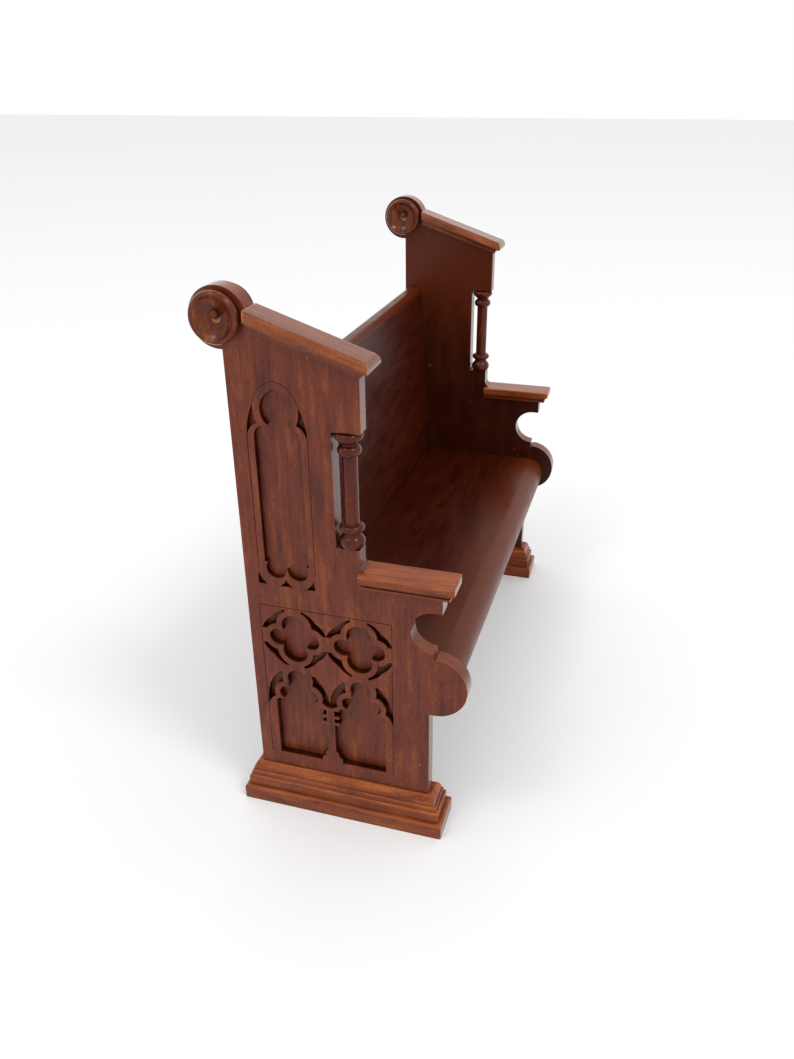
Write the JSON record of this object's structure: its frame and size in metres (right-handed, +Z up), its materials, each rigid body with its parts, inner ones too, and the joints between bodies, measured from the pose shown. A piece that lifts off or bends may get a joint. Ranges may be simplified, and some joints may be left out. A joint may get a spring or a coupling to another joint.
{
  "type": "church pew",
  "caption": "Carved wooden church pew: bench with pierced, gothic-carved ends, scrolled arms, sloping moulded caps, round bosses and moulded plinths.",
  "frame": {"origin": "on the floor, in the middle of the pew's overall footprint", "axes": "X along the seat, the sitter's right hand at -X; the front of the pew faces -Y; +Z is up"},
  "size_m": [0.1224, 0.0514, 0.1131],
  "materials": {
    "panel_wood": "stained red-brown hardwood, satin lacquer, vertical grain",
    "moulding_wood": "stained red-brown hardwood, satin lacquer, grain along the moulding, worn lighter arrises",
    "turned_wood": "stained red-brown hardwood, polished turnings",
    "board_wood": "dark red-brown hardwood boards, satin lacquer, grain along the seat",
    "frame_wood": "plain stained hardwood, thin matt finish",
    "dowel_wood": "unstained hardwood dowel",
    "pin_metal": "small brass pins, dull"
  },
  "bodies": {
    "root": {"left_end_panel": "panel_wood", "right_end_panel": "panel_wood", "left_plinth": "moulding_wood", "right_plinth": "moulding_wood", "left_arm_cap": "moulding_wood", "right_arm_cap": "moulding_wood", "left_slope_cap": "moulding_wood", "right_slope_cap": "moulding_wood", "left_colonnette": "turned_wood", "right_colonnette": "turned_wood", "left_outer_rosette": "turned_wood", "right_outer_rosette": "turned_wood", "left_inner_rosette": "turned_wood", "right_inner_rosette": "turned_wood", "seat_board": "board_wood", "back_board": "board_wood", "seat_front_rail": "frame_wood", "seat_rear_rail": "frame_wood", "left_seat_bearer": "frame_wood", "right_seat_bearer": "frame_wood", "arm_cap_dowels": "dowel_wood", "plinth_dowels": "dowel_wood", "slope_cap_dowels": "dowel_wood", "rosette_dowels": "dowel_wood", "seat_bearer_pins": "pin_metal"}
  },
  "joints": []
}
